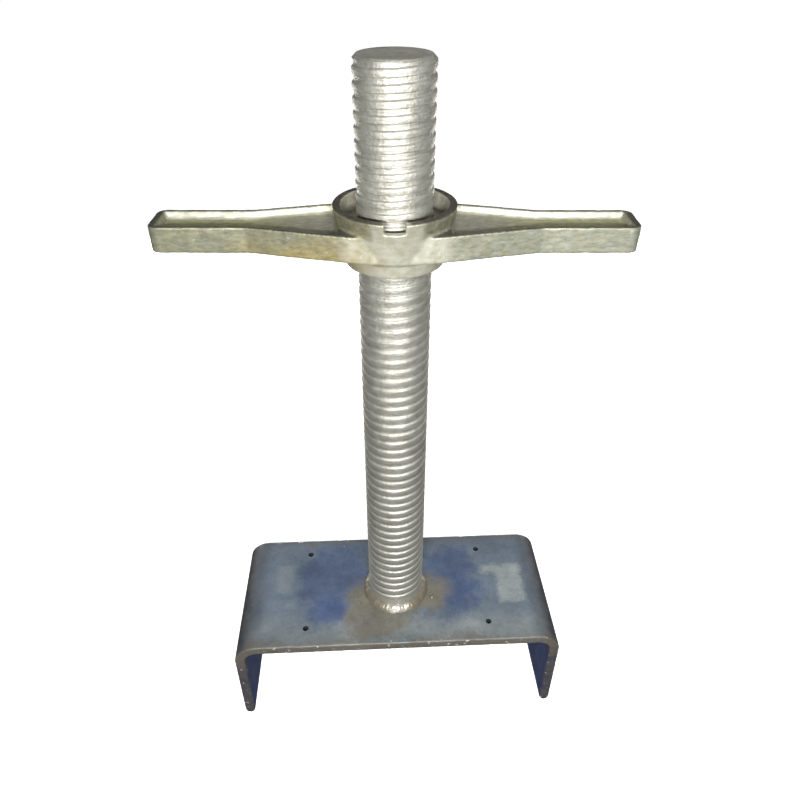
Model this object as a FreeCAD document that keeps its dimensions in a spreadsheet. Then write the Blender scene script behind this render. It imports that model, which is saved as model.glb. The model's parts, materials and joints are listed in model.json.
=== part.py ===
import FreeCAD, Part
import Sketcher
import os
import re

# Adjustable U-head jack, standing upside down on the two flange tips of its U-head.
# Origin: floor level under the spindle's axis. X runs along the U-head's width, Y along its
# depth, Z up along the spindle. Lengths are millimetres, angles are degrees.

DRIVING_DIMENSIONS = (
    # the U-head, bent from flat bar
    ("head_width", 222, "over the outer faces of the two flanges"),
    ("head_depth", 95, "width of the flat bar"),
    ("leg_height", 75, "flange tip to the outer face of the web"),
    ("plate_thickness", 7, "thickness of the flat bar"),
    ("bend_inner_radius", 8, "inside radius of the two bends"),
    ("tip_rounding", 2.8, "radius on the long edges of the flange tips"),
    ("nail_hole_diameter", 4, "four holes in the web"),
    ("nail_spacing_wide", 126, "hole spacing along the width"),
    ("nail_spacing_deep", 66, "hole spacing along the depth"),
    # the spindle, a solid bar with a coarse rolled thread
    ("spindle_diameter", 38, "over the thread's crests"),
    ("spindle_length", 350, "outer face of the web to the free end"),
    ("thread_pitch", 6.2, "crest to crest"),
    ("thread_depth", 1.3, "crest to root"),
    ("groove_width", 3, "mouth of the groove between two crests"),
    ("thread_start_gap", 1.5, "plain bar between the weld and the first groove"),
    ("end_chamfer", 2, "at the free end"),
    # the fillet weld at the spindle's foot
    ("weld_leg", 4.5, "leg of the fillet weld"),
    ("weld_crown", 0.7, "bulge of the bead over the straight line between its toes"),
    # the cast wing nut
    ("nut_lift", 255.4, "web to the nut's lower edge"),
    ("nut_turn", 2.5, "angle of the handles to the U-head's width, clockwise from above"),
    ("nut_clearance", 0.3, "radial gap between the bore and the crests"),
    ("collar_height", 7.7, "lower edge to the underside of the handles"),
    ("collar_foot_diameter", 50.4, "at the lower edge"),
    ("collar_top_diameter", 52, "under the handles"),
    ("handle_span", 239, "tip to tip"),
    ("handle_width", 24.8, "outer part of a handle, front to back"),
    ("handle_height", 13.4, "underside to the top of the rims"),
    ("bend_span", 143, "between the places where the handles start to flare"),
    ("flare_span", 44, "between the ends of the flare, at the hub"),
    ("flare_width", 48.5, "over the ends of the flare, front to back"),
    ("hub_flat_span", 20, "length of the flat at the front and back of the hub"),
    ("hub_width", 53.2, "over those flats"),
    ("rim_thickness", 2, "top of the rim along the recess of a handle"),
    ("end_rim_thickness", 3, "top of the rim at a handle's tip"),
    ("recess_span", 54, "between the inner ends of the two recesses"),
    ("recess_depth", 4, "top of the rim to the recess's floor"),
    ("recess_draft", 24, "slope of the recess's walls"),
    ("handle_tip_radius", 5, "rounding of the upright edges of the handle tips"),
    ("hub_foot_diameter", 55, "of the hub's cone, at the underside of the handles"),
    ("cup_outer_diameter", 61.6, "at the rim of the tube seat"),
    ("cup_inner_diameter", 52, "takes a 48.3 mm tube"),
    ("cup_depth", 9, "rim to the seat's floor"),
    ("cup_rise", 8, "rim above the top of the handles"),
    ("notch_width", 9.5, "drain notch in the rim"),
    ("notch_depth", 5, "rim to the notch's floor"),
)
ALIASES = {alias for alias, _, _ in DRIVING_DIMENSIONS}

doc = FreeCAD.newDocument("u_head_jack")
sizes = doc.addObject("Spreadsheet::Sheet", "Sizes")
for row, (alias, value, meaning) in enumerate(DRIVING_DIMENSIONS, start=1):
    sizes.set("A%d" % row, alias)
    sizes.set("B%d" % row, str(value))
    sizes.set("C%d" % row, meaning)
    sizes.setAlias("B%d" % row, alias)
doc.recompute()


def bind(item, place, formula):
    """Tie a property to a formula over the sheet's aliases."""
    named = re.sub(r"[a-z_]+", lambda word: "Sizes." * (word[0] in ALIASES) + word[0], formula)
    item.setExpression(place, named)


def worth(formula):
    """What a formula over the sheet's aliases comes to."""
    return float(sizes.evalExpression(formula))


def new_body(label, height=None):
    """A body of its own label, raised above the floor by a formula."""
    body = doc.addObject("PartDesign::Body", label)
    body.Label = label
    if height:
        bind(body, "Placement.Base.z", height)
    return body


def new_sketch(body, name, plane, height=None):
    """An empty sketch on one of the body's own planes, raised along its normal by a formula."""
    sketch = body.newObject("Sketcher::SketchObject", name)
    planes = [feature for feature in body.Origin.OriginFeatures if feature.Role == plane]
    sketch.AttachmentSupport = [(planes[0], "")]
    sketch.MapMode = "FlatFace"
    if height:
        bind(sketch, "AttachmentOffset.Base.z", height)
    return sketch


def pin(sketch, held_points):
    """Hold sketch points at pairs of formulas from the origin; a leading minus means left or down."""
    origin = (-1, 1)
    constraints = []
    formulas = []
    for geometry, position, place in held_points:
        for kind, axis, formula in zip(("DistanceX", "DistanceY"), (-2, -1), place):
            size = formula.lstrip("-")
            if size == "0":
                constraint = Sketcher.Constraint("PointOnObject", geometry, position, axis)
            elif formula == size:
                constraint = Sketcher.Constraint(kind, *origin, geometry, position, worth(size))
            else:
                constraint = Sketcher.Constraint(kind, geometry, position, *origin, worth(size))
            constraints.append(constraint)
            formulas.append(size)
    indices = sketch.addConstraint(constraints)
    for index, formula in zip(indices, formulas):
        if formula != "0":
            bind(sketch, "Constraints[%d]" % index, formula)


def add_outline(sketch, corners):
    """A closed outline of straight lines between corners that are pairs of formulas."""
    points = [FreeCAD.Vector(worth(across), worth(up), 0) for across, up in corners]
    ends = points[1:] + points[:1]
    lines = list(sketch.addGeometry([Part.LineSegment(*line) for line in zip(points, ends)], False))
    for line, previous in zip(lines, lines[-1:] + lines[:-1]):
        sketch.addConstraint(Sketcher.Constraint("Coincident", previous, 2, line, 1))
    pin(sketch, [(line, 1, corner) for line, corner in zip(lines, corners)])


def add_circle(sketch, centre, diameter):
    """A circle whose centre is a pair of formulas and whose diameter is a formula."""
    middle = FreeCAD.Vector(worth(centre[0]), worth(centre[1]), 0)
    up = FreeCAD.Vector(0, 0, 1)
    number = sketch.addGeometry(Part.Circle(middle, up, worth(diameter) / 2), False)
    pin(sketch, [(number, 3, centre)])
    index = sketch.addConstraint(Sketcher.Constraint("Diameter", number, worth(diameter)))
    bind(sketch, "Constraints[%d]" % index, diameter)


def mirrored_outline(quarter):
    """All corners of an outline that is the same left and right, front and back, from one quarter."""
    left = [("-(" + across + ")", up) for across, up in reversed(quarter)]
    back = quarter + left
    front = [(across, "-(" + up + ")") for across, up in reversed(back)]
    return back + front


def new_feature(body, kind, name, profile):
    feature = body.newObject("PartDesign::" + kind, name)
    feature.Profile = profile
    return feature


def turned(body, kind, name, profile):
    """Turn a profile once around the body's upright axis."""
    feature = new_feature(body, kind, name, profile)
    feature.ReferenceAxis = (profile, ["V_Axis"])
    feature.Angle = 360
    return feature


def rounded(body, name, base, formula, wanted):
    """Round the edges of a feature that pass a test of the edge and its middle point."""
    doc.recompute()
    names = []
    for number, edge in enumerate(base.Shape.Edges, start=1):
        middle = edge.valueAt((edge.FirstParameter + edge.LastParameter) / 2)
        if wanted(edge, middle):
            names.append("Edge%d" % number)
    feature = body.newObject("PartDesign::Fillet", name)
    feature.Base = (base, names)
    bind(feature, "Radius", formula)
    return feature


def near(value, target, slack=0.01):
    return abs(value - target) < slack


# U-head: flat bar bent twice, open side down, with four nail holes in its web.
u_head = new_body("u_head")
section = new_sketch(u_head, "bar_section", "XZ_Plane")
half_section = [
    ("head_width / 2", "leg_height"),
    ("head_width / 2", "0"),
    ("(head_width / 2 - plate_thickness)", "0"),
    ("(head_width / 2 - plate_thickness)", "(leg_height - plate_thickness)"),
]
other_half = [("-(" + across + ")", up) for across, up in reversed(half_section)]
add_outline(section, half_section + other_half)
bar = new_feature(u_head, "Pad", "bent_bar", section)
bar.SideType = "Symmetric"
bind(bar, "Length", "head_depth")

web_top = worth("leg_height")
web_underside = worth("leg_height - plate_thickness")


def runs_deep(edge):
    return near(edge.Length, worth("head_depth"))


outer_bends = rounded(
    u_head, "outer_bends", bar, "bend_inner_radius + plate_thickness",
    lambda edge, middle: runs_deep(edge) and near(middle.z, web_top))
inner_bends = rounded(
    u_head, "inner_bends", outer_bends, "bend_inner_radius",
    lambda edge, middle: runs_deep(edge) and near(middle.z, web_underside))
flange_tips = rounded(
    u_head, "flange_tips", inner_bends, "tip_rounding",
    lambda edge, middle: runs_deep(edge) and near(middle.z, 0))

hole_plan = new_sketch(u_head, "nail_hole_plan", "XY_Plane", "leg_height")
for side in ("nail_spacing_wide / 2", "-nail_spacing_wide / 2"):
    for row in ("nail_spacing_deep / 2", "-nail_spacing_deep / 2"):
        add_circle(hole_plan, (side, row), "nail_hole_diameter")
nail_holes = new_feature(u_head, "Pocket", "nail_holes", hole_plan)
bind(nail_holes, "Length", "plate_thickness")

# Spindle: solid bar with a coarse rolled thread, drawn as rings of the thread's pitch and depth.
spindle = new_body("spindle", "leg_height")
crest = "spindle_diameter / 2"
root = "(spindle_diameter / 2 - thread_depth)"
bar_profile = new_sketch(spindle, "bar_profile", "XZ_Plane")
add_outline(bar_profile, [
    ("0", "0"),
    (crest, "0"),
    (crest, "(spindle_length - end_chamfer)"),
    ("(spindle_diameter / 2 - end_chamfer)", "spindle_length"),
    ("0", "spindle_length"),
])
turned(spindle, "Revolution", "round_bar", bar_profile)

thread_start = "weld_leg + thread_start_gap"
groove_profile = new_sketch(spindle, "groove_profile", "XZ_Plane")
add_outline(groove_profile, [
    (crest, "(" + thread_start + ")"),
    (root, "(" + thread_start + " + groove_width / 2)"),
    (crest, "(" + thread_start + " + groove_width)"),
])
first_groove = turned(spindle, "Groove", "first_groove", groove_profile)
thread = spindle.newObject("PartDesign::LinearPattern", "thread")
thread.Originals = [first_groove]
thread.Direction = (groove_profile, ["V_Axis"])
thread.Mode = "Spacing"
thread_room = "(spindle_length - end_chamfer - weld_leg - thread_start_gap - groove_width)"
bind(thread, "Offset", "thread_pitch")
bind(thread, "Occurrences", "floor(" + thread_room + " / thread_pitch) + 1")
spindle.Tip = thread

# Weld bead: a fillet weld all round the spindle's foot, slightly crowned.
weld_bead = new_body("weld_bead", "leg_height")
weld_profile = new_sketch(weld_bead, "weld_profile", "XZ_Plane")
upper_toe = FreeCAD.Vector(worth(crest), worth("weld_leg"), 0)
lower_toe = FreeCAD.Vector(worth("spindle_diameter / 2 + weld_leg"), 0, 0)
heel = FreeCAD.Vector(worth(crest), 0, 0)
outward = FreeCAD.Vector(1, 1, 0).normalize()
crown_point = (upper_toe + lower_toe) / 2 + outward * worth("weld_crown")
weld_profile.addGeometry(Part.LineSegment(upper_toe, heel), False)
weld_profile.addGeometry(Part.LineSegment(heel, lower_toe), False)
weld_profile.addGeometry(Part.Arc(lower_toe, crown_point, upper_toe), False)
for (ending, last), (starting, first) in (((0, 2), (1, 1)), ((1, 2), (2, 1)), ((2, 2), (0, 1))):
    weld_profile.addConstraint(Sketcher.Constraint("Coincident", ending, last, starting, first))
pin(weld_profile, [
    (0, 1, (crest, "weld_leg")),
    (1, 1, (crest, "0")),
    (2, 1, ("(spindle_diameter / 2 + weld_leg)", "0")),
])
crown_radius = "weld_leg ^ 2 / (4 * weld_crown) + weld_crown / 2"
bow = weld_profile.addConstraint(Sketcher.Constraint("Radius", 2, worth(crown_radius)))
bind(weld_profile, "Constraints[%d]" % bow, crown_radius)
turned(weld_bead, "Revolution", "bead", weld_profile)

# Wing nut: one casting. Handles with a recess each, a coned hub with a tube seat, and a collar below.
wing_nut = new_body("wing_nut", "leg_height + nut_lift")
wing_nut.Placement.Rotation = FreeCAD.Rotation(FreeCAD.Vector(0, 0, -1), worth("nut_turn"))
bind(wing_nut, "Placement.Rotation.Angle", "nut_turn * 1 deg")
handle_top = "collar_height + handle_height"
rim_top = handle_top + " + cup_rise"

handle_plan = new_sketch(wing_nut, "handle_plan", "XY_Plane", "collar_height")
add_outline(handle_plan, mirrored_outline([
    ("handle_span / 2", "handle_width / 2"),
    ("bend_span / 2", "handle_width / 2"),
    ("flare_span / 2", "flare_width / 2"),
    ("hub_flat_span / 2", "hub_width / 2"),
]))
handles = new_feature(wing_nut, "Pad", "handles", handle_plan)
bind(handles, "Length", "handle_height")
handle_tips = rounded(
    wing_nut, "handle_tips", handles, "handle_tip_radius",
    lambda edge, middle: near(abs(middle.x), worth("handle_span / 2"))
    and near(edge.Length, worth("handle_height")))

recess_plan = new_sketch(wing_nut, "recess_plan", "XY_Plane", handle_top)
flare_slope = "(flare_width - handle_width) / (bend_span - flare_span)"
recess_end_width = "(flare_width - (recess_span - flare_span) * " + flare_slope + ")"
half_recess = [
    ("(recess_span / 2)", "(" + recess_end_width + " / 2 - rim_thickness)"),
    ("(bend_span / 2)", "(handle_width / 2 - rim_thickness)"),
    ("(handle_span / 2 - end_rim_thickness)", "(handle_width / 2 - rim_thickness)"),
]
front_half = [(across, "-" + up) for across, up in reversed(half_recess)]
for side in ("", "-"):
    add_outline(recess_plan, [(side + across, up) for across, up in half_recess + front_half])
recesses = new_feature(wing_nut, "Pocket", "recesses", recess_plan)
bind(recesses, "Length", "recess_depth")
bind(recesses, "TaperAngle", "-recess_draft * 1 deg")

hub_profile = new_sketch(wing_nut, "hub_profile", "XZ_Plane")
add_outline(hub_profile, [
    ("0", "0"),
    ("collar_foot_diameter / 2", "0"),
    ("collar_top_diameter / 2", "collar_height"),
    ("hub_foot_diameter / 2", "collar_height"),
    ("cup_outer_diameter / 2", "(" + rim_top + ")"),
    ("0", "(" + rim_top + ")"),
])
turned(wing_nut, "Revolution", "hub", hub_profile)

bore_plan = new_sketch(wing_nut, "bore_plan", "XY_Plane", rim_top)
add_circle(bore_plan, ("0", "0"), "(spindle_diameter + 2 * nut_clearance)")
bore = new_feature(wing_nut, "Pocket", "bore", bore_plan)
bind(bore, "Length", rim_top)

cup_plan = new_sketch(wing_nut, "cup_plan", "XY_Plane", rim_top)
add_circle(cup_plan, ("0", "0"), "cup_inner_diameter")
cup = new_feature(wing_nut, "Pocket", "tube_seat", cup_plan)
bind(cup, "Length", "cup_depth")

notch_plan = new_sketch(wing_nut, "notch_plan", "XY_Plane", rim_top)
add_outline(notch_plan, [
    ("notch_width / 2", "0"),
    ("-notch_width / 2", "0"),
    ("-notch_width / 2", "-cup_outer_diameter"),
    ("notch_width / 2", "-cup_outer_diameter"),
])
notch = new_feature(wing_nut, "Pocket", "notch", notch_plan)
bind(notch, "Length", "notch_depth")

doc.recompute()

sub_parts = (u_head, spindle, weld_bead, wing_nut)
failed = [item.Label for item in doc.Objects if {"Invalid", "Error"} & set(item.State)]
for body in sub_parts:
    shape = body.Shape
    if shape.isNull() or not shape.isValid() or len(shape.Solids) != 1:
        failed.append(body.Label)
if failed:
    raise RuntimeError("not built: " + ", ".join(failed))

os.makedirs("parts", exist_ok=True)
for body in sub_parts:
    body.Shape.exportStep("parts/" + body.Label + ".step")
    box = body.Shape.BoundBox
    print("%s: volume %.0f mm3, x %.1f to %.1f, y %.1f to %.1f, z %.1f to %.1f" % (
        body.Label, body.Shape.Volume, box.XMin, box.XMax, box.YMin, box.YMax, box.ZMin, box.ZMax))
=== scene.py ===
import json
import math
import bmesh
import bpy
import numpy as np
from mathutils import Matrix, Vector, noise


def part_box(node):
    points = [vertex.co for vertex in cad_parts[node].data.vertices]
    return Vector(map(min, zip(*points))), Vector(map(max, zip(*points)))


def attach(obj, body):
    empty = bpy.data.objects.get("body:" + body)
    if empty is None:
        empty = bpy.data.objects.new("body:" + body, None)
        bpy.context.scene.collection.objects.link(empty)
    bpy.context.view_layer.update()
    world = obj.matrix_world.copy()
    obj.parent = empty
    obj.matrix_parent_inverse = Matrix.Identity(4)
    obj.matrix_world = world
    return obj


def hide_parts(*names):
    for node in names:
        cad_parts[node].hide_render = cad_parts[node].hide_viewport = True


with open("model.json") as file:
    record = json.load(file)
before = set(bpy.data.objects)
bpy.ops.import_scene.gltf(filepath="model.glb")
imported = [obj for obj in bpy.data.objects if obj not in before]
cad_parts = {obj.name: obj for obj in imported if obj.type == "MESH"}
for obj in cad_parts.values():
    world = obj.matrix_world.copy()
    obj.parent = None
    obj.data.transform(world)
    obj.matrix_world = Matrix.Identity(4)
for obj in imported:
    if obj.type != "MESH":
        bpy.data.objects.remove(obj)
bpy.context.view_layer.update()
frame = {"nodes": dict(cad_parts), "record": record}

# U-head: one length of hot-rolled flat bar, cropped off, drilled for four nails and bent twice in
# a press. The jack stands on the two flange tips. The bar keeps its mill scale, which the weld's
# heat has turned blue and brown round the spindle, and it rusts along its edges and bends.
MM = 0.001
half_width, half_depth, web_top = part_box("u_head")[1]
mounts = {mount["name"]: mount for mount in frame["record"]["mounts"]}
bar_thickness = web_top - mounts["beam_seat"]["pos_m"][2]
bend_radius = 8 * MM + bar_thickness / 2  # to the middle of the bar's thickness
tip_round = 2.8 * MM
edge_round = 1.3 * MM
bar_step = 1.6 * MM
edge_wear = 0.45 * MM
sag = 0.12 * MM
coarse_nick, fine_nick, rolling_wave = 5 * MM, 1.7 * MM, 45 * MM


def steps(start, end, spacing):
    """Evenly spaced values from start up to, but not including, end."""
    return np.linspace(start, end, max(1, round(abs(end - start) / spacing)), endpoint=False)


def bar_section():
    """The flat bar's rounded section as pairs: across its depth, and through its thickness from -1 to 1."""
    inset = edge_round / (bar_thickness / 2)
    corners = []
    for side, face in ((1, 1), (-1, 1), (-1, -1), (1, -1)):
        turn = math.atan2(face, side) - math.pi / 4
        for angle in np.linspace(0, math.pi / 2, 5):
            across = side * (half_depth - edge_round) + edge_round * math.cos(turn + angle)
            corners.append((across, face * (1 - inset) + inset * math.sin(turn + angle)))
    outline = []
    for start, end in zip(corners, corners[1:] + corners[:1]):
        length = abs(end[0] - start[0]) + abs(end[1] - start[1]) * bar_thickness / 2
        for share in steps(0, 1, bar_step / max(length, bar_step)):
            outline.append((start[0] + share * (end[0] - start[0]), start[1] + share * (end[1] - start[1])))
    return outline


def bent_line():
    """Stations along the bar from the right tip to the left: place, outward direction and share of
    the thickness."""
    side_x = half_width - bar_thickness / 2
    bend_z = web_top - bar_thickness / 2 - bend_radius
    flat_tip = 1 - tip_round / (bar_thickness / 2)
    half = []
    for angle in np.linspace(0, math.pi / 2, 6):
        share = flat_tip + (1 - flat_tip) * math.sin(angle)
        half.append(((side_x, tip_round * (1 - math.cos(angle))), (1, 0), share))
    for height in steps(tip_round + bar_step, bend_z, bar_step):
        half.append(((side_x, height), (1, 0), 1))
    for angle in np.linspace(0, math.pi / 2, 14):
        outward = (math.cos(angle), math.sin(angle))
        place = (side_x - bend_radius + bend_radius * outward[0], bend_z + bend_radius * outward[1])
        half.append((place, outward, 1))
    for across in steps(side_x - bend_radius - bar_step, bar_step / 2, bar_step):
        half.append(((across, bend_z + bend_radius), (0, 1), 1))
    other = [((-x, z), (-out_x, out_z), share) for (x, z), (out_x, out_z), share in reversed(half)]
    return half + other


def worn(place, outward):
    """A point of the bar moved inwards a little: uneven rolling, and nicks along the cropped edges."""
    at_edge = max(0, 1 - (half_depth - abs(place.y)) / (2 * edge_round))
    nick = max(0, noise.noise(place / coarse_nick) + 0.5 * noise.noise(place / fine_nick))
    wave = 0.5 + 0.5 * noise.noise(place / rolling_wave)
    place = place - outward * sag * wave
    place.y -= math.copysign(edge_wear * at_edge * nick, place.y)
    return place


def skin(name, rows, climb=0, ring=False):
    """A mesh over rows of points that close on themselves. Rows that wind join up some rows higher."""
    count, columns = len(rows), len(rows[0])
    faces = []
    for row in range(count if ring else count - 1):
        for column in range(columns):
            beside = (column + 1) % columns
            lift = climb if beside == 0 else 0
            above = (row + 1) % count
            if row + 1 + lift < count or ring:
                faces.append((row * columns + column, (row + lift) * columns + beside,
                              (above + lift) * columns + beside, above * columns + column))
    mesh = bpy.data.meshes.new(name)
    mesh.from_pydata([tuple(point) for row in rows for point in row], [], faces)
    return mesh


def close_up(mesh, smooth_angle):
    """Merge points that coincide, fill open ends, face everything outwards and smooth it up to an angle."""
    shape = bmesh.new()
    shape.from_mesh(mesh)
    bmesh.ops.remove_doubles(shape, verts=shape.verts, dist=0.001 * MM)
    bmesh.ops.dissolve_degenerate(shape, edges=shape.edges, dist=0.001 * MM)
    rim = [edge for edge in shape.edges if edge.is_boundary]
    bmesh.ops.holes_fill(shape, edges=rim, sides=0)
    bmesh.ops.recalc_face_normals(shape, faces=shape.faces)
    shape.to_mesh(mesh)
    shape.free()
    mesh.polygons.foreach_set("use_smooth", [True] * len(mesh.polygons))
    mesh.set_sharp_from_angle(angle=math.radians(smooth_angle))


def new_piece(name, mesh):
    piece = bpy.data.objects.new(name, mesh)
    bpy.context.scene.collection.objects.link(piece)
    return piece


def settle(piece):
    """Make the result of a piece's modifiers its own mesh."""
    bpy.context.view_layer.update()
    result = piece.evaluated_get(bpy.context.evaluated_depsgraph_get())
    piece.data = bpy.data.meshes.new_from_object(result)
    piece.modifiers.clear()


def drill_nail_holes(bar):
    """Cut the four nail holes that the record's bolt pattern gives."""
    pattern = mounts["nail_holes"]
    drill = bmesh.new()
    for side in (-1, 1):
        for row in (-1, 1):
            place = Vector(pattern["pos_m"])
            place.x += side * pattern["dims"]["spacing_x_mm"] / 2 * MM
            place.y += row * pattern["dims"]["spacing_y_mm"] / 2 * MM
            radius = pattern["dims"]["hole_r_mm"] * MM
            bmesh.ops.create_cone(
                drill, cap_ends=True, segments=24, radius1=radius, radius2=radius,
                depth=4 * bar_thickness, matrix=Matrix.Translation(place))
    mesh = bpy.data.meshes.new("nail_drill")
    drill.to_mesh(mesh)
    drill.free()
    cutter = new_piece("nail_drill", mesh)
    cut = bar.modifiers.new("nail_holes", "BOOLEAN")
    cut.object = cutter
    cut.solver = "EXACT"
    settle(bar)
    bpy.data.objects.remove(cutter)


section = bar_section()
bar_rows = []
for (x, z), (out_x, out_z), share in bent_line():
    row = []
    for across, through in section:
        reach = through * share * bar_thickness / 2
        place = Vector((x + reach * out_x, across, z + reach * out_z))
        row.append(worn(place, Vector((out_x, 0, out_z)) * through))
    bar_rows.append(row)
bar_mesh = skin("bent_bar", bar_rows)
close_up(bar_mesh, 40)
bent_bar = new_piece("bent_bar", bar_mesh)
drill_nail_holes(bent_bar)


def linear(colour):
    """An sRGB hex colour as linear red, green, blue and alpha."""
    shares = [int(colour[place:place + 2], 16) / 255 for place in (1, 3, 5)]
    return [s / 12.92 if s <= 0.04045 else ((s + 0.055) / 1.055) ** 2.4 for s in shares] + [1]


def add_node(tree, kind, inputs=None, **settings):
    """Add a node with its settings. Inputs, by name or number, are values, nodes or nodes' outputs."""
    node = tree.nodes.new("ShaderNode" + kind)
    for name, value in settings.items():
        setattr(node, name, value)
    for key, value in (inputs or {}).items():
        if isinstance(key, str):
            socket = next(s for s in node.inputs if s.enabled and s.name == key)
        else:
            socket = node.inputs[key]
        if isinstance(value, bpy.types.Node):
            value = next(s for s in value.outputs if s.enabled)
        if isinstance(value, bpy.types.NodeSocket):
            tree.links.new(value, socket)
        else:
            socket.default_value = value
    return node


def new_material(name):
    """A material with no nodes yet, and its node tree."""
    material = bpy.data.materials.new(name)
    material.use_nodes = True
    material.node_tree.nodes.clear()
    return material, material.node_tree


def hot_rolled_mill_scale():
    """Hot-rolled steel under mill scale: a dull blue-grey oxide skin with a slight sheen. Round the weld
    the heat has left brown and blue tints, two places are rubbed pale, and edges are dark and rusty."""
    scale_grey, scale_pale = linear("#667380"), linear("#868d8b")
    temper_blue, heat_brown = linear("#45567b"), linear("#7c7666")
    rubbed_grey, rust_brown = linear("#9ba19f"), linear("#645b4e")
    flange_edge, web_edge, bend_shade_grey = linear("#454a59"), linear("#7b776d"), linear("#3f444b")
    blue_reflection_shade, bright_chip_and_glint, hole_shade_brown = linear("#354f95"), linear("#d6cec4"), linear("#2c2a27")
    material, tree = new_material("hot_rolled_mill_scale")
    surface = add_node(tree, "TexCoord")
    place = surface.outputs["Object"]
    axes = add_node(tree, "SeparateXYZ", {"Vector": place})
    facing = add_node(tree, "SeparateXYZ", {"Vector": surface.outputs["Normal"]})
    clouds = add_node(tree, "TexNoise", {"Vector": place, "Scale": 1 / (26 * MM), "Detail": 4.0})
    patchy = add_node(tree, "TexNoise", {
        "Vector": place, "Scale": 1 / (6 * MM), "Detail": 6.0, "Roughness": 0.62})
    grain = add_node(tree, "TexNoise", {"Vector": place, "Scale": 1 / (1.4 * MM), "Detail": 5.0})
    on_top = add_node(tree, "MapRange", {"Value": facing.outputs["Z"], "From Min": 0.6, "From Max": 0.9})

    # mill scale in two greys, paler along the front of the web
    front = add_node(tree, "MapRange", {
        "Value": axes.outputs["Y"], "From Min": -18 * MM, "From Max": -34 * MM, "To Max": 1.3})
    front = add_node(tree, "Math", {0: front, 1: clouds.outputs["Fac"], 2: 0.1}, operation="MULTIPLY_ADD")
    colour = add_node(tree, "Mix", {"Factor": front, "A": scale_grey, "B": scale_pale}, data_type="RGBA")

    # heat tints round the weld: ellipses on the web, pulled out of shape, with a wavering edge
    pull = add_node(tree, "TexNoise", {"Vector": place, "Scale": 1 / (20 * MM), "Detail": 3.0})
    pull = add_node(tree, "VectorMath", {
        0: pull.outputs["Color"], 1: (0.5, 0.5, 0.5)}, operation="SUBTRACT")
    pulled = add_node(tree, "VectorMath", {
        0: pull, 1: (44 * MM, 30 * MM, 0), 2: place}, operation="MULTIPLY_ADD")
    tints = (  # tint, centre and reach in millimetres, inner and outer edge, strength
        (temper_blue, (-45, 5), (30, 38), 0.6, 1.2, 0.62),
        (temper_blue, (-47, -18), (17, 13), 0.35, 1.35, 0.6),
        (temper_blue, (38, 4), (25, 34), 0.65, 1.2, 0.68),
        (temper_blue, (45, -8), (14, 17), 0.35, 1.35, 0.5),
        (heat_brown, (4, -6), (37, 20), 0.7, 1.2, 0.92),
        (heat_brown, (-12, -26), (23, 14), 0.7, 1.2, 0.8),
    )
    for tint, centre, reach, inner, outer, strength in tints:
        local = add_node(tree, "Mapping", {
            "Vector": pulled,
            "Location": (-centre[0] / reach[0], -centre[1] / reach[1], 0),
            "Scale": (1 / (reach[0] * MM), 1 / (reach[1] * MM), 0),
        })
        distance = add_node(tree, "VectorMath", {0: local}, operation="LENGTH").outputs["Value"]
        waver = 0.45
        wandering = add_node(tree, "Math", {
            0: patchy.outputs["Fac"], 1: waver, 2: distance}, operation="MULTIPLY_ADD")
        share = add_node(tree, "MapRange", {
            "Value": wandering, "To Max": strength,
            "From Min": outer + waver / 2, "From Max": inner + waver / 2}, interpolation_type="SMOOTHSTEP")
        share = add_node(tree, "Math", {0: share, 1: on_top}, operation="MULTIPLY")
        colour = add_node(tree, "Mix", {"Factor": share, "A": colour, "B": tint}, data_type="RGBA")

    # places where stacked heads have rubbed the scale pale: oblongs with a ragged edge
    rubbed = (  # centre and half size in millimetres, strength
        ((-81, 10), (6, 13), 0.3),
        ((-79, -13), (8, 4), 0.25),
        ((83, -2), (9, 15), 0.85),
        ((78, 13), (14, 4), 0.8),
    )
    for centre, half, strength in rubbed:
        local = add_node(tree, "VectorMath", {
            0: place, 1: (centre[0] * MM, centre[1] * MM, web_top)}, operation="SUBTRACT")
        local = add_node(tree, "VectorMath", {0: local}, operation="ABSOLUTE")
        local = add_node(tree, "VectorMath", {
            0: local, 1: (half[0] * MM, half[1] * MM, 0)}, operation="SUBTRACT")
        beyond = add_node(tree, "SeparateXYZ", {"Vector": local})
        beyond = add_node(tree, "Math", {
            0: beyond.outputs["X"], 1: beyond.outputs["Y"]}, operation="MAXIMUM")
        ragged = 14 * MM
        beyond = add_node(tree, "Math", {
            0: patchy.outputs["Fac"], 1: ragged, 2: beyond}, operation="MULTIPLY_ADD")
        share = add_node(tree, "MapRange", {
            "Value": beyond, "To Max": strength,
            "From Min": ragged / 2 + 2.5 * MM, "From Max": ragged / 2 - 2.5 * MM},
            interpolation_type="SMOOTHSTEP")
        share = add_node(tree, "Math", {0: share, 1: on_top}, operation="MULTIPLY")
        colour = add_node(tree, "Mix", {"Factor": share, "A": colour, "B": rubbed_grey}, data_type="RGBA")

    # the faces inside the U, those that face the middle of the channel, get a painted blue reflection and
    # painted shade
    channel = add_node(tree, "VectorMath", {0: place, 1: (0, 0, -30 * MM)}, operation="ADD")
    flat = add_node(tree, "Mapping", {"Vector": channel, "Scale": (1, 0, 1)})
    outward = add_node(tree, "VectorMath", {0: flat, 1: surface.outputs["Normal"]}, operation="DOT_PRODUCT")
    painted_blue_reflection = add_node(tree, "MapRange", {
        "Value": outward.outputs["Value"], "From Min": -5 * MM, "From Max": -12 * MM, "To Max": 0.85})
    colour = add_node(tree, "Mix", {"Factor": painted_blue_reflection, "A": colour, "B": blue_reflection_shade}, data_type="RGBA")
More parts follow.
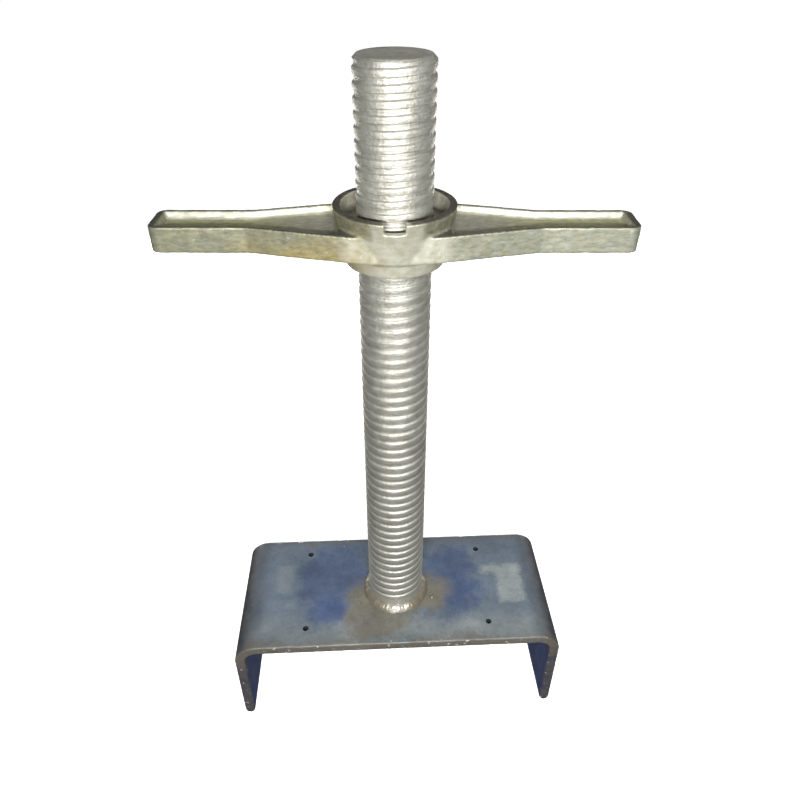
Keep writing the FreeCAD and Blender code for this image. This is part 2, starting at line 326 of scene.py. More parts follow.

    # painted shade darkens the bends and the walls of the nail holes; cropped edges are dark, and rust
    # creeps in from the edges and bends
    on_web_top = add_node(tree, "MapRange", {
        "Value": axes.outputs["Z"], "From Min": web_top - bar_thickness + 0.6 * MM,
        "From Max": web_top - bar_thickness + 1.6 * MM})
    depth = add_node(tree, "Math", {0: axes.outputs["Y"]}, operation="ABSOLUTE")
    across = add_node(tree, "Math", {0: axes.outputs["X"]}, operation="ABSOLUTE")
    sideways = add_node(tree, "Math", {0: facing.outputs["Y"]}, operation="ABSOLUTE")
    # painted shade on the outer bends, weaker down the flanks
    painted_bend_shade = add_node(tree, "MapRange", {
        "Value": across, "From Min": half_width - 20 * MM, "From Max": half_width - 4 * MM, "To Max": 0.9})
    at_bends = add_node(tree, "MapRange", {
        "Value": axes.outputs["Z"], "From Min": web_top - 30 * MM, "From Max": web_top - 12 * MM,
        "To Min": 0.25})
    painted_bend_shade = add_node(tree, "Math", {0: painted_bend_shade, 1: at_bends}, operation="MULTIPLY")
    colour = add_node(tree, "Mix", {"Factor": painted_bend_shade, "A": colour, "B": bend_shade_grey}, data_type="RGBA")
    # painted shade on the walls of the nail holes
    upright = add_node(tree, "MapRange", {"Value": facing.outputs["Z"], "From Min": 0.7, "From Max": 0.3})
    in_web = add_node(tree, "MapRange", {
        "Value": across, "From Min": half_width - 26 * MM, "From Max": half_width - 30 * MM})
    painted_hole_shade = add_node(tree, "Math", {0: upright, 1: in_web}, operation="MULTIPLY")
    within = add_node(tree, "MapRange", {
        "Value": depth, "From Min": half_depth - 5 * MM, "From Max": half_depth - 7 * MM, "To Max": 0.9})
    painted_hole_shade = add_node(tree, "Math", {0: painted_hole_shade, 1: within}, operation="MULTIPLY")
    painted_hole_shade = add_node(tree, "Math", {0: painted_hole_shade, 1: on_web_top}, operation="MULTIPLY")
    colour = add_node(tree, "Mix", {"Factor": painted_hole_shade, "A": colour, "B": hole_shade_brown}, data_type="RGBA")
    cropped = add_node(tree, "MapRange", {
        "Value": sideways, "From Min": 0.35, "From Max": 0.8, "To Max": 0.88})
    outermost = add_node(tree, "MapRange", {
        "Value": depth, "From Min": half_depth - 5 * MM, "From Max": half_depth - 3 * MM})
    cropped = add_node(tree, "Math", {0: cropped, 1: outermost}, operation="MULTIPLY")
    upper = add_node(tree, "MapRange", {
        "Value": axes.outputs["Z"], "From Min": web_top - 25 * MM, "From Max": web_top - 8 * MM})
    edge = add_node(tree, "Mix", {"Factor": upper, "A": flange_edge, "B": web_edge}, data_type="RGBA")
    colour = add_node(tree, "Mix", {"Factor": cropped, "A": colour, "B": edge}, data_type="RGBA")
    at_edge = add_node(tree, "MapRange", {
        "Value": depth, "From Min": half_depth - 14 * MM, "From Max": half_depth - 1 * MM})
    at_bend = add_node(tree, "MapRange", {
        "Value": across, "From Min": half_width - 22 * MM, "From Max": half_width - 3 * MM, "To Max": 0.75})
    exposed = add_node(tree, "Math", {0: at_edge, 1: at_bend}, operation="MAXIMUM")
    exposed = add_node(tree, "Math", {
        0: exposed, 1: 0.3, 2: patchy.outputs["Fac"]}, operation="MULTIPLY_ADD")
    rusty = add_node(tree, "MapRange", {
        "Value": exposed, "From Min": 0.57, "From Max": 0.9, "To Max": 0.65},
        interpolation_type="SMOOTHSTEP")
    colour = add_node(tree, "Mix", {"Factor": rusty, "A": colour, "B": rust_brown}, data_type="RGBA")

    # a few chips of bright steel along the edges, pale enough to be painted glints too, cloudy dirt, and a
    # fine speckle all over
    chips = add_node(tree, "TexNoise", {"Vector": place, "Scale": 1 / (2.6 * MM), "Detail": 2.0})
    chips = add_node(tree, "Math", {0: at_edge, 1: 0.2, 2: chips.outputs["Fac"]}, operation="MULTIPLY_ADD")
    chip_and_glint_share = add_node(tree, "MapRange", {
        "Value": chips, "From Min": 0.85, "From Max": 0.91, "To Max": 0.85})
    colour = add_node(tree, "Mix", {"Factor": chip_and_glint_share, "A": colour, "B": bright_chip_and_glint}, data_type="RGBA")
    speckle = add_node(tree, "MapRange", {
        "Value": grain.outputs["Fac"], "From Min": 0.3, "From Max": 0.7, "To Min": 0.9, "To Max": 1.08})
    colour = add_node(tree, "VectorMath", {0: colour, "Scale": speckle}, operation="SCALE")
    soil = add_node(tree, "Math", {
        0: patchy.outputs["Fac"], 1: clouds.outputs["Fac"]}, operation="ADD")
    soil = add_node(tree, "MapRange", {
        "Value": soil, "From Min": 0.75, "From Max": 1.25, "To Min": 0.78, "To Max": 1.17})
    colour = add_node(tree, "VectorMath", {0: colour, "Scale": soil}, operation="SCALE")

    dullness = add_node(tree, "MapRange", {
        "Value": patchy.outputs["Fac"], "From Min": 0.3, "From Max": 0.7, "To Min": 0.44, "To Max": 0.6})
    pits = add_node(tree, "Math", {0: grain.outputs["Fac"], 1: patchy.outputs["Fac"]}, operation="ADD")
    bump = add_node(tree, "Bump", {"Height": pits, "Strength": 0.45, "Distance": 0.06 * MM})
    shader = add_node(tree, "BsdfPrincipled", {
        "Base Color": colour, "Roughness": dullness, "Metallic": 0.2, "Normal": bump})
    add_node(tree, "OutputMaterial", {"Surface": shader})
    return material


bent_bar.data.materials.clear()
bent_bar.data.materials.append(hot_rolled_mill_scale())
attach(bent_bar, "head_and_spindle")
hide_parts("u_head")

# Spindle: solid round steel bar with a coarse thread rolled into it, then hot-dip galvanised. Its
# foot is welded to the web. The thread runs right-handed from above the weld to the free end,
# with broad crests, narrower roots and all corners softened by the rolling and the zinc.
spindle_low, spindle_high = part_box("spindle")
crest_radius = spindle_high.x
spindle_length = spindle_high.z - spindle_low.z
thread_pitch = 6.2 * MM
thread_depth = 0.95 * MM
first_groove = 7.5 * MM  # height above the web at the front of the spindle
root_share, lower_flank, upper_flank = 0.32, 0.09, 0.18  # of the pitch; the rest is crest
crest_crown = 0.1 * MM
end_chamfer = 2 * MM
run_in = 9 * MM  # the thread starts shallow above the weld
nut_reach = web_top + 260 * MM  # the painted grime and shade in the roots are weakest from here up
plain_foot = 4.5 * MM
columns_round = 96


def smooth(value):
    value = np.clip(value, 0, 1)
    return value * value * (3 - 2 * value)


def thread_radius(angle, height):
    """Radius of the threaded bar at an angle and a height above the web."""
    turns = (height - first_groove) / thread_pitch - (angle + math.pi / 2) / math.tau
    share = turns - np.floor(turns)  # from the middle of a root up to the middle of the next
    rise = smooth((share - root_share / 2) / lower_flank)
    fall = smooth((1 - root_share / 2 - share) / upper_flank)
    on_crest = np.minimum(rise, fall)
    crest_middle = (1 + lower_flank - upper_flank) / 2
    crest_half = (1 - root_share - lower_flank - upper_flank) / 2
    crown = crest_crown * np.clip(np.abs(share - crest_middle) / crest_half, 0, 1) ** 2
    cut = (thread_depth * (1 - on_crest) + crown * on_crest) * smooth((height - plain_foot) / run_in)
    chamfer = np.maximum(0, end_chamfer - (spindle_length - height))
    return crest_radius - np.maximum(cut, chamfer)


# the rows of the mesh wind with the thread, closer on its flanks, and are held at the bar's two ends
flank_foot, root_end = root_share / 2, 1 - root_share / 2
stretches = (  # from, to, rows
    (flank_foot, flank_foot + lower_flank, 4),
    (flank_foot + lower_flank, root_end - upper_flank, 3),
    (root_end - upper_flank, root_end, 5),
    (root_end, 1 + flank_foot, 2),
)
row_shares = np.concatenate([np.linspace(*stretch, endpoint=False) for stretch in stretches])
angles = np.arange(columns_round) * math.tau / columns_round
turns_below = math.ceil(first_groove / thread_pitch + 1.25)
turn_count = turns_below + math.ceil(spindle_length / thread_pitch)
spindle_rows = []
for row_turn in (turn + share for turn in range(turn_count) for share in row_shares):
    turns = row_turn - turns_below + (angles + math.pi / 2) / math.tau
    height = np.clip(first_groove + turns * thread_pitch, 0, spindle_length)
    radius = thread_radius(angles, height)
    spindle_rows.append(np.stack([
        radius * np.cos(angles), radius * np.sin(angles), spindle_low.z + height], axis=1))
spindle_mesh = skin("threaded_spindle", spindle_rows, climb=len(row_shares))
close_up(spindle_mesh, 35)
threaded_spindle = new_piece("threaded_spindle", spindle_mesh)


def hot_dip_galvanised_thread():
    """Hot-dip zinc over a rolled thread: a warm light grey metal, lumpy, so that its soft gloss breaks up.
    Grime and painted shade sit in the roots, more so lower down, and the zinc is greyer towards the weld,
    whose heat has burnt it."""
    zinc, dull_zinc = linear("#c4c2b6"), linear("#a6a497")
    burnt_zinc, grime_and_shade = linear("#c0beb3"), linear("#6f6b5e")
    material, tree = new_material("hot_dip_galvanised_thread")
    place = add_node(tree, "TexCoord").outputs["Object"]
    axes = add_node(tree, "SeparateXYZ", {"Vector": place})
    round_axis = add_node(tree, "Mapping", {"Vector": place, "Scale": (1, 1, 0)})
    radius = add_node(tree, "VectorMath", {0: round_axis}, operation="LENGTH").outputs["Value"]
    mottle = add_node(tree, "TexNoise", {"Vector": place, "Scale": 1 / (9 * MM), "Detail": 5.0})
    grain = add_node(tree, "TexNoise", {"Vector": place, "Scale": 1 / (1.1 * MM), "Detail": 4.0})
    along = add_node(tree, "Mapping", {
        "Vector": place, "Scale": (1 / (7 * MM), 1 / (7 * MM), 1 / (1.1 * MM))})
    streaks = add_node(tree, "TexNoise", {"Vector": along, "Scale": 1.0, "Detail": 4.0})
    uneven = add_node(tree, "Math", {0: mottle.outputs["Fac"], 1: streaks.outputs["Fac"]}, operation="ADD")
    mottled = add_node(tree, "MapRange", {"Value": uneven, "From Min": 0.75, "From Max": 1.25})
    colour = add_node(tree, "Mix", {"Factor": mottled, "A": zinc, "B": dull_zinc}, data_type="RGBA")
    burnt = add_node(tree, "MapRange", {
        "Value": axes.outputs["Z"], "To Max": 0.8,
        "From Min": web_top + 150 * MM, "From Max": web_top + 5 * MM})
    colour = add_node(tree, "Mix", {"Factor": burnt, "A": colour, "B": burnt_zinc}, data_type="RGBA")
    # grime and painted shade in the roots, stronger lower down
    root_grime_and_shade = add_node(tree, "MapRange", {
        "Value": radius, "From Min": crest_radius - 0.5 * thread_depth,
        "From Max": crest_radius - thread_depth, "To Max": 0.6})
    lower = add_node(tree, "MapRange", {
        "Value": axes.outputs["Z"], "To Min": 0.25, "To Max": 1.1,
        "From Min": nut_reach, "From Max": web_top})
    root_grime_and_shade = add_node(tree, "Math", {0: root_grime_and_shade, 1: lower}, operation="MULTIPLY")
    root_grime_and_shade = add_node(tree, "Math", {0: root_grime_and_shade, 1: mottle.outputs["Fac"]}, operation="MULTIPLY")
    colour = add_node(tree, "Mix", {"Factor": root_grime_and_shade, "A": colour, "B": grime_and_shade}, data_type="RGBA")
    dullness = add_node(tree, "MapRange", {
        "Value": grain.outputs["Fac"], "From Min": 0.3, "From Max": 0.7, "To Min": 0.53, "To Max": 0.65})
    rough = add_node(tree, "Math", {0: grain.outputs["Fac"], 1: streaks.outputs["Fac"]}, operation="ADD")
    lumps = add_node(tree, "TexNoise", {"Vector": place, "Scale": 1 / (2.4 * MM), "Detail": 3.0})
    rough = add_node(tree, "Math", {
        0: lumps.outputs["Fac"], 1: 1.6, 2: rough}, operation="MULTIPLY_ADD")
    bump = add_node(tree, "Bump", {"Height": rough, "Strength": 1.0, "Distance": 0.19 * MM})
    shader = add_node(tree, "BsdfPrincipled", {
        "Base Color": colour, "Roughness": dullness, "Metallic": 0.85, "Normal": bump})
    add_node(tree, "OutputMaterial", {"Surface": shader})
    return material


threaded_spindle.data.materials.append(hot_dip_galvanised_thread())
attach(threaded_spindle, "head_and_spindle")
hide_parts("spindle")

# Weld: one arc-welded fillet all round the spindle's foot, laid by hand, so its ripples and its
# width are uneven. It is bare, painted pale in front as a painted highlight, and brown with heat
# elsewhere, and a few drops of spatter have stuck to the web beside it.
weld_low, weld_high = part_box("weld_bead")
weld_leg = weld_high.z - weld_low.z
weld_crown = 0.6 * MM
weld_sink = 0.4 * MM  # into the web and the spindle
ripple_spacing, ripple_height, ripple_lag = 2.1 * MM, 0.14 * MM, 1.2 * MM
weld_lump = 0.25 * MM
weld_columns, weld_profile_points = 360, 14
spatter_drops = (  # place on the web and radius, in millimetres
    (25.5, -11, 1.3), (27.5, -6, 0.7), (-26, -13, 0.8), (14, -25.5, 0.9), (-8, -27, 0.6), (31, 4, 0.6),
)


def weld_section(angle):
    """One closed section of the bead, from the spindle down over the crown to the web and back."""
    along = Vector((math.cos(angle), math.sin(angle), 0))
    uneven = noise.noise(along * 2.3) + 0.5 * noise.noise(along * 6)
    leg = weld_leg * (0.94 + 0.13 * uneven)
    points = []
    for share in np.linspace(0, 1, weld_profile_points):
        toe_to_toe = share * leg
        bulge = math.sin(math.pi * share)
        lag = bulge * ripple_lag
        ripple = ripple_height * abs(math.sin(math.pi * (angle * crest_radius + lag) / ripple_spacing))
        lump = weld_lump * noise.noise(along * 9 + Vector((0, 0, share * 2)))
        out = bulge * (weld_crown + lump - ripple) / math.sqrt(2)
        points.append((crest_radius + toe_to_toe + out, leg - toe_to_toe + out))
    points[0] = (crest_radius - weld_sink, points[0][1])
    points[-1] = (points[-1][0], -weld_sink)
    points.append((crest_radius - weld_sink, -weld_sink))
    return [along * radius + Vector((0, 0, weld_low.z + height)) for radius, height in points]


weld_rows = [weld_section(angle) for angle in np.arange(weld_columns) * math.tau / weld_columns]
weld_mesh = skin("weld_ring", weld_rows, ring=True)
drops = bmesh.new()
drops.from_mesh(weld_mesh)
for x, y, radius in spatter_drops:
    squat = Matrix.Diagonal((1, 1, 0.8, 1))
    bmesh.ops.create_icosphere(
        drops, subdivisions=3, radius=radius * MM,
        matrix=Matrix.Translation((x * MM, y * MM, web_top + 0.1 * radius * MM)) @ squat)
drops.to_mesh(weld_mesh)
drops.free()
close_up(weld_mesh, 60)
weld_ring = new_piece("weld_ring", weld_mesh)


def arc_weld_bead():
    """Bare arc-weld metal: glossy, rippled steel, painted pale in front as a painted highlight, and
    elsewhere under a film of grey-brown heat tint that runs on into the tint of the web."""
    painted_front_highlight, straw, brown = linear("#cdc8bb"), linear("#9b9482"), linear("#877f6d")
    material, tree = new_material("arc_weld_bead")
    place = add_node(tree, "TexCoord").outputs["Object"]
    tint = add_node(tree, "TexNoise", {"Vector": place, "Scale": 1 / (5 * MM), "Detail": 5.0})
    grain = add_node(tree, "TexNoise", {"Vector": place, "Scale": 1 / (0.8 * MM), "Detail": 3.0})
    # painted highlight: paler the nearer the front of the bead
    foremost = (0, -crest_radius - 2 * MM, web_top + 2 * MM)
    from_front = add_node(tree, "VectorMath", {0: place, 1: foremost}, operation="DISTANCE")
    front = add_node(tree, "MapRange", {
        "Value": from_front.outputs["Value"], "From Min": 4 * MM, "From Max": 13 * MM})
    tinted = add_node(tree, "Math", {0: front, 1: 0.45, 2: tint.outputs["Fac"]}, operation="MULTIPLY_ADD")
    straw_share = add_node(tree, "MapRange", {"Value": tinted, "From Min": 0.42, "From Max": 0.66})
    brown_share = add_node(tree, "MapRange", {"Value": tinted, "From Min": 0.62, "From Max": 0.9})
    colour = add_node(tree, "Mix", {"Factor": straw_share, "A": painted_front_highlight, "B": straw}, data_type="RGBA")
    colour = add_node(tree, "Mix", {"Factor": brown_share, "A": colour, "B": brown}, data_type="RGBA")
    dullness = add_node(tree, "MapRange", {
        "Value": tinted, "From Min": 0.4, "From Max": 0.9, "To Min": 0.26, "To Max": 0.5})
    bump = add_node(tree, "Bump", {"Height": grain.outputs["Fac"], "Strength": 0.4, "Distance": 0.06 * MM})
    shader = add_node(tree, "BsdfPrincipled", {
        "Base Color": colour, "Roughness": dullness, "Metallic": 0.5, "Normal": bump})
    add_node(tree, "OutputMaterial", {"Surface": shader})
    return material


weld_ring.data.materials.append(arc_weld_bead())
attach(weld_ring, "head_and_spindle")
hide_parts("weld_bead")

# Wing nut: one iron casting, threaded on the spindle, with a channelled handle on each side and a
# cup on top that a scaffold tube stands in. It is zinc plated and yellow passivated, with the
# soft edges and the grain of a sand casting.
nut_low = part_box("wing_nut")[0]
casting_voxel = 0.66 * MM
edge_softening = 2
sand_grain = 0.09 * MM
coarse_grain, fine_grain = 7 * MM, 2.4 * MM

nut_mesh = frame["nodes"]["wing_nut"].data.copy()
nut_mesh.name = "cast_wing_nut"
nut_mesh.materials.clear()
cast_wing_nut = new_piece("cast_wing_nut", nut_mesh)
weld_up = cast_wing_nut.modifiers.new("merge", "WELD")
weld_up.merge_threshold = 0.005 * MM
remesh = cast_wing_nut.modifiers.new("casting_skin", "REMESH")
remesh.mode = "VOXEL"
remesh.voxel_size = casting_voxel
soften = cast_wing_nut.modifiers.new("soft_edges", "SMOOTH")
soften.factor = 0.5
soften.iterations = edge_softening
settle(cast_wing_nut)
casting_normals = [normal.vector.copy() for normal in cast_wing_nut.data.vertex_normals]
for point, normal in zip(cast_wing_nut.data.vertices, casting_normals):
    coarse = noise.noise(point.co / coarse_grain)
    fine = noise.noise(point.co / fine_grain)
    point.co -= normal * sand_grain * (0.7 + coarse + 0.6 * fine)
cast_wing_nut.data.polygons.foreach_set("use_smooth", [True] * len(cast_wing_nut.data.polygons))


def yellow_passivated_casting():
    """Zinc-plated, yellow-passivated cast iron: a khaki metal that drifts between straw, olive and grey,
    with a soft gloss, orange stains low beside the hub, a few pale flecks and a rough cast grain."""
    khaki, olive = linear("#9a9b89"), linear("#868672")
    straw, light_cream = linear("#a59f7c"), linear("#c3c0ad")
    floor_olive, floor_grey = linear("#a2a27a"), linear("#aaa897")
    orange, rim_shade_brown = linear("#a9965f"), linear("#4d4a43")
    fleck, grime_and_shade, cup_shade_olive = linear("#cbc9b8"), linear("#55533f"), linear("#74735e")
    material, tree = new_material("yellow_passivated_casting")
    surface = add_node(tree, "TexCoord")
    place = surface.outputs["Object"]
    axes = add_node(tree, "SeparateXYZ", {"Vector": place})
    facing = add_node(tree, "SeparateXYZ", {"Vector": surface.outputs["Normal"]})
    drift = add_node(tree, "TexNoise", {"Vector": place, "Scale": 1 / (22 * MM), "Detail": 4.0})
    mottle = add_node(tree, "TexNoise", {
        "Vector": place, "Scale": 1 / (5 * MM), "Detail": 6.0, "Roughness": 0.6})
    grain = add_node(tree, "TexNoise", {"Vector": place, "Scale": 1 / (0.9 * MM), "Detail": 4.0})
    along = add_node(tree, "Mapping", {
        "Vector": place, "Scale": (1 / (5 * MM), 1 / (2 * MM), 1 / (1.6 * MM))})
    streaks = add_node(tree, "TexNoise", {"Vector": along, "Scale": 1.0, "Detail": 5.0, "Roughness": 0.65})

    # the right handle is paler than the left; the hub's flats and a strip down its middle get a painted
    # highlight, and the cup's wall painted shade
    rightward = add_node(tree, "MapRange", {
        "Value": axes.outputs["X"], "From Min": -60 * MM, "From Max": 60 * MM,
        "To Min": -0.5, "To Max": 0.5})
    drifted = add_node(tree, "Math", {0: drift.outputs["Fac"], 1: rightward}, operation="ADD")
    drifted = add_node(tree, "MapRange", {"Value": drifted, "From Min": 0.2, "From Max": 0.8})
    colour = add_node(tree, "Mix", {"Factor": drifted, "A": olive, "B": khaki}, data_type="RGBA")
    height = add_node(tree, "Math", {0: axes.outputs["Z"], 1: nut_low.z}, operation="SUBTRACT")
    aside = add_node(tree, "Math", {0: axes.outputs["X"]}, operation="ABSOLUTE")
    on_cup = add_node(tree, "MapRange", {"Value": height, "From Min": 19 * MM, "From Max": 23 * MM})
    near_hub = add_node(tree, "MapRange", {"Value": aside, "From Min": 29 * MM, "From Max": 21 * MM})
    # painted shade: the cup is darkened olive
    painted_cup_shade = add_node(tree, "Math", {0: on_cup, 1: 0.8}, operation="MULTIPLY")
    colour = add_node(tree, "Mix", {"Factor": painted_cup_shade, "A": colour, "B": cup_shade_olive}, data_type="RGBA")
    below_cup = add_node(tree, "MapRange", {"Value": on_cup, "To Min": 0.9, "To Max": 0.0})
    flats = add_node(tree, "Math", {0: near_hub, 1: below_cup}, operation="MULTIPLY")
    # painted highlight down the middle of the hub
    boss = add_node(tree, "MapRange", {
        "Value": aside, "From Min": 14 * MM, "From Max": 11 * MM, "To Max": 0.7})
    painted_hub_highlight = add_node(tree, "Math", {0: flats, 1: boss}, operation="MAXIMUM")
    colour = add_node(tree, "Mix", {"Factor": painted_hub_highlight, "A": colour, "B": light_cream}, data_type="RGBA")
    mottled = add_node(tree, "MapRange", {
        "Value": mottle.outputs["Fac"], "From Min": 0.45, "From Max": 0.7, "To Max": 0.6})
    colour = add_node(tree, "Mix", {"Factor": mottled, "A": colour, "B": straw}, data_type="RGBA")

    # the recesses' floors are olive, greyer near the hub; their walls and the cup's inside are painted pale
    # as painted light, and the rims' tops darkened as painted shade
    level = add_node(tree, "MapRange", {"Value": facing.outputs["Z"], "From Min": 0.75, "From Max": 0.95})
    below_rims = add_node(tree, "MapRange", {
        "Value": height, "From Min": 20.2 * MM, "From Max": 19.2 * MM, "To Max": 0.85})
    on_floor = add_node(tree, "Math", {0: level, 1: below_rims}, operation="MULTIPLY")
    inner_end = add_node(tree, "MapRange", {"Value": aside, "From Min": 75 * MM, "From Max": 40 * MM})
    floor = add_node(tree, "Mix", {
        "Factor": inner_end, "A": floor_olive, "B": floor_grey}, data_type="RGBA")
    colour = add_node(tree, "Mix", {"Factor": on_floor, "A": colour, "B": floor}, data_type="RGBA")
    inward = add_node(tree, "Math", {
        0: facing.outputs["Y"], 1: axes.outputs["Y"]}, operation="MULTIPLY")
    painted_wall_highlight = add_node(tree, "MapRange", {
        "Value": inward, "From Min": -1 * MM, "From Max": -4 * MM, "To Max": 0.75})
    off_hub = add_node(tree, "MapRange", {"Value": aside, "From Min": 28 * MM, "From Max": 34 * MM})
    painted_wall_highlight = add_node(tree, "Math", {0: painted_wall_highlight, 1: off_hub}, operation="MULTIPLY")
    colour = add_node(tree, "Mix", {"Factor": painted_wall_highlight, "A": colour, "B": light_cream}, data_type="RGBA")
    # painted shade on the rims' tops
    painted_rim_shade = add_node(tree, "MapRange", {
        "Value": height, "From Min": 19 * MM, "From Max": 20.3 * MM, "To Max": 0.8})
    upward = add_node(tree, "MapRange", {"Value": facing.outputs["Z"], "From Min": 0.45, "From Max": 0.85})
    painted_rim_shade = add_node(tree, "Math", {0: upward, 1: painted_rim_shade}, operation="MULTIPLY")
    off_notch = add_node(tree, "MapRange", {"Value": aside, "From Min": 5 * MM, "From Max": 7 * MM})
    painted_rim_shade = add_node(tree, "Math", {0: off_notch, 1: painted_rim_shade}, operation="MULTIPLY")
    colour = add_node(tree, "Mix", {"Factor": painted_rim_shade, "A": colour, "B": rim_shade_brown}, data_type="RGBA")
    round_axis = add_node(tree, "Mapping", {"Vector": place, "Scale": (1, 1, 0)})
    radius = add_node(tree, "VectorMath", {0: round_axis}, operation="LENGTH").outputs["Value"]
    # painted light inside the cup
    painted_cup_light = add_node(tree, "MapRange", {
        "Value": radius, "From Min": 27 * MM, "From Max": 26.4 * MM, "To Max": 0.9})
    painted_cup_light = add_node(tree, "Math", {0: painted_cup_light, 1: on_cup}, operation="MULTIPLY")
    colour = add_node(tree, "Mix", {"Factor": painted_cup_light, "A": colour, "B": light_cream}, data_type="RGBA")

    # a yellow-orange stain low on the left flare, fading over some 40 mm
    across = add_node(tree, "Math", {0: axes.outputs["X"], 1: 44 * MM}, operation="ADD")
    across = add_node(tree, "Math", {0: across}, operation="ABSOLUTE")
    stained = add_node(tree, "MapRange", {
        "Value": across, "From Min": 42 * MM, "From Max": 8 * MM, "To Max": 0.8})
    low = add_node(tree, "MapRange", {
        "Value": height, "From Min": 21 * MM, "From Max": 11 * MM, "To Min": 0.25})
    stained = add_node(tree, "Math", {0: stained, 1: low}, operation="MULTIPLY")
    patches = add_node(tree, "MapRange", {
        "Value": drift.outputs["Fac"], "From Min": 0.25, "From Max": 0.55})
    stained = add_node(tree, "Math", {0: stained, 1: patches}, operation="MULTIPLY")
    upright = add_node(tree, "MapRange", {"Value": facing.outputs["Z"], "From Min": 0.7, "From Max": 0.4})
    stained = add_node(tree, "Math", {0: stained, 1: upright}, operation="MULTIPLY")
    colour = add_node(tree, "Mix", {"Factor": stained, "A": colour, "B": orange}, data_type="RGBA")

    # grime and painted shade in the hollows, rubbed metal on the edges, and a few pale flecks
    shape = add_node(tree, "NewGeometry").outputs["Pointiness"]
    hollow_grime_and_shade = add_node(tree, "MapRange", {"Value": shape, "From Min": 0.49, "From Max": 0.42, "To Max": 0.7})
    colour = add_node(tree, "Mix", {"Factor": hollow_grime_and_shade, "A": colour, "B": grime_and_shade}, data_type="RGBA")
    flecks = add_node(tree, "TexNoise", {"Vector": place, "Scale": 1 / (2.2 * MM), "Detail": 3.0})
    flecked = add_node(tree, "MapRange", {
        "Value": flecks.outputs["Fac"], "From Min": 0.62, "From Max": 0.78, "To Max": 0.5})
    edge = add_node(tree, "MapRange", {"Value": shape, "From Min": 0.52, "From Max": 0.6, "To Max": 0.12})
    pale = add_node(tree, "Math", {0: flecked, 1: edge}, operation="MAXIMUM")
    colour = add_node(tree, "Mix", {"Factor": pale, "A": colour, "B": fleck}, data_type="RGBA")

    shade = add_node(tree, "MapRange", {
        "Value": streaks.outputs["Fac"], "From Min": 0.3, "From Max": 0.7, "To Min": 0.7, "To Max": 1.34})
    # the painted highlight on the hub also calms its streaks
    highlight_calm = add_node(tree, "Math", {0: painted_hub_highlight, 1: 0.8}, operation="MULTIPLY")
    shade = add_node(tree, "Mix", {"Factor": highlight_calm, "A": shade, "B": 1.0})
    colour = add_node(tree, "VectorMath", {0: colour, "Scale": shade}, operation="SCALE")

    dullness = add_node(tree, "MapRange", {
        "Value": mottle.outputs["Fac"], "From Min": 0.3, "From Max": 0.7, "To Min": 0.5, "To Max": 0.38})
    rough = add_node(tree, "Math", {0: grain.outputs["Fac"], 1: streaks.outputs["Fac"]}, operation="ADD")
    bump = add_node(tree, "Bump", {"Height": rough, "Strength": 0.5, "Distance": 0.1 * MM})
    shader = add_node(tree, "BsdfPrincipled", {
        "Base Color": colour, "Roughness": dullness, "Metallic": 0.55, "Normal": bump})
    add_node(tree, "OutputMaterial", {"Surface": shader})
    return material


cast_wing_nut.data.materials.append(yellow_passivated_casting())
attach(cast_wing_nut, "nut")
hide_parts("wing_nut")

# Studio: a white floor and a white wall all round, both lit so evenly that they show no shade, as in
# a catalogue photograph. A strip light under the lens lights the front, two low ones light the back,
# and weak softboxes overhead, behind and at the sides fill in, in a dim grey room.
floor_reach = 8
floor_mesh = bpy.data.meshes.new("studio_floor")
corners = [(-floor_reach, -floor_reach, 0), (floor_reach, -floor_reach, 0),
           (floor_reach, floor_reach, 0), (-floor_reach, floor_reach, 0)]
floor_mesh.from_pydata(corners, [], [(0, 1, 2, 3)])


def white_sheet(name, mesh, paint, glow):
    """A part of the studio that glows an even white and throws no light on the jack."""
    material, tree = new_material(paint)
    shader = add_node(tree, "BsdfPrincipled", {
        "Base Color": linear("#f1f1ef"), "Roughness": 0.9,
        "Emission Color": linear("#ffffff"), "Emission Strength": glow})
    add_node(tree, "OutputMaterial", {"Surface": shader})
    mesh.materials.append(material)
    sheet = new_piece(name, mesh)
    sheet.visible_diffuse = False
    sheet.visible_glossy = False
    return sheet


studio_floor = white_sheet("studio_floor", floor_mesh, "matt_white_floor_paint", 0.95)
wall = bmesh.new()
bmesh.ops.create_cone(
    wall, cap_ends=False, segments=64, radius1=floor_reach, radius2=floor_reach, depth=2 * floor_reach)
wall_mesh = bpy.data.meshes.new("studio_wall")
wall.to_mesh(wall_mesh)
wall.free()
studio_wall = white_sheet("studio_wall", wall_mesh, "white_backdrop_paper", 1.0)
studio_wall.visible_shadow = False


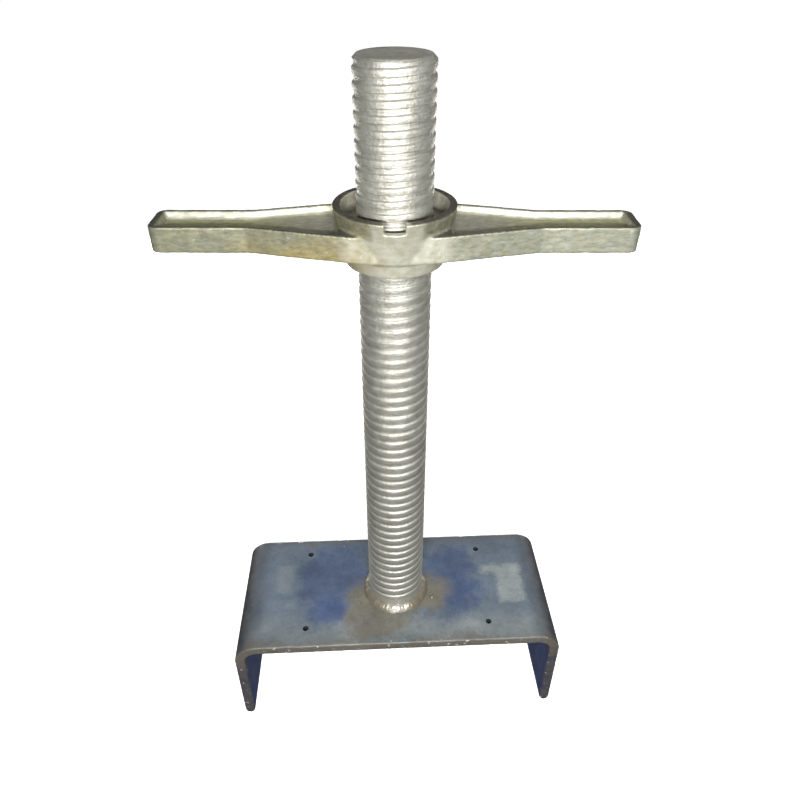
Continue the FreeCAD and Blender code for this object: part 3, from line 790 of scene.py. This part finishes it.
def softbox(name, place, target, width, height, power, colour="#ffffff"):
    light = bpy.data.lights.new(name, "AREA")
    light.shape = "RECTANGLE"
    light.size, light.size_y = width, height
    light.energy = power
    light.color = linear(colour)[:3]
    lamp = bpy.data.objects.new(name, light)
    lamp.location = place
    lamp.rotation_euler = (Vector(target) - Vector(place)).to_track_quat("-Z", "Y").to_euler()
    lamp.visible_camera = False
    bpy.context.scene.collection.objects.link(lamp)


hub, middle = (0, 0, 0.35), (0, 0, 0.22)
softbox("strip_below_lens", (-0.01, -0.5, 0.48), hub, 0.24, 0.02, 6.4, "#f9fbff")
softbox("overhead", (0, 0.1, 1.7), middle, 1.6, 1.6, 2.5)
softbox("left_fill", (-1.3, 0.3, 0.8), middle, 0.8, 1.0, 0.5)
softbox("right_fill", (1.3, 0.3, 0.8), middle, 0.8, 1.0, 1)
softbox("back_fill", (0.3, 0.9, 1.6), middle, 1.0, 0.6, 2)
softbox("low_back_left", (-0.45, 0.85, 0.12), middle, 0.5, 0.2, 3.2)
softbox("low_back_right", (0.45, 0.85, 0.12), middle, 0.5, 0.2, 3.2)
room = bpy.data.worlds.new("grey_room")
room.use_nodes = True
room.node_tree.nodes["Background"].inputs["Color"].default_value = linear("#e6e8ea")
room.node_tree.nodes["Background"].inputs["Strength"].default_value = 0.1
bpy.context.scene.world = room
bpy.context.scene.view_settings.view_transform = "Standard"

# Camera: where the photograph was taken from, a little left of the jack and above the nut, looking
# down on it from close by. Its place, heading and lens were fitted to the thread, head and nut.
camera_place = Vector((-13.75, -326.6, 475.2)) * MM
heading, pitch_down, roll = math.radians(2.9), math.radians(35.57), math.radians(0.18)
focal_length, sensor_width = 30.88, 36  # on a frame as wide as it is high
level = Vector((math.cos(heading), -math.sin(heading), 0))
ahead = Vector((math.sin(heading), math.cos(heading), 0))
sight = ahead * math.cos(pitch_down) - Vector((0, 0, math.sin(pitch_down)))
upright = level.cross(sight)
rightward = level * math.cos(roll) + upright * math.sin(roll)
upward = rightward.cross(sight)
lens = bpy.data.cameras.new("camera")
lens.lens, lens.sensor_width = focal_length, sensor_width
lens.clip_start = 0.01
camera = bpy.data.objects.new("camera", lens)
camera_axes = Matrix((rightward, upward, -sight)).transposed()
camera.matrix_world = Matrix.Translation(camera_place) @ camera_axes.to_4x4()
bpy.context.scene.collection.objects.link(camera)
bpy.context.scene.camera = camera
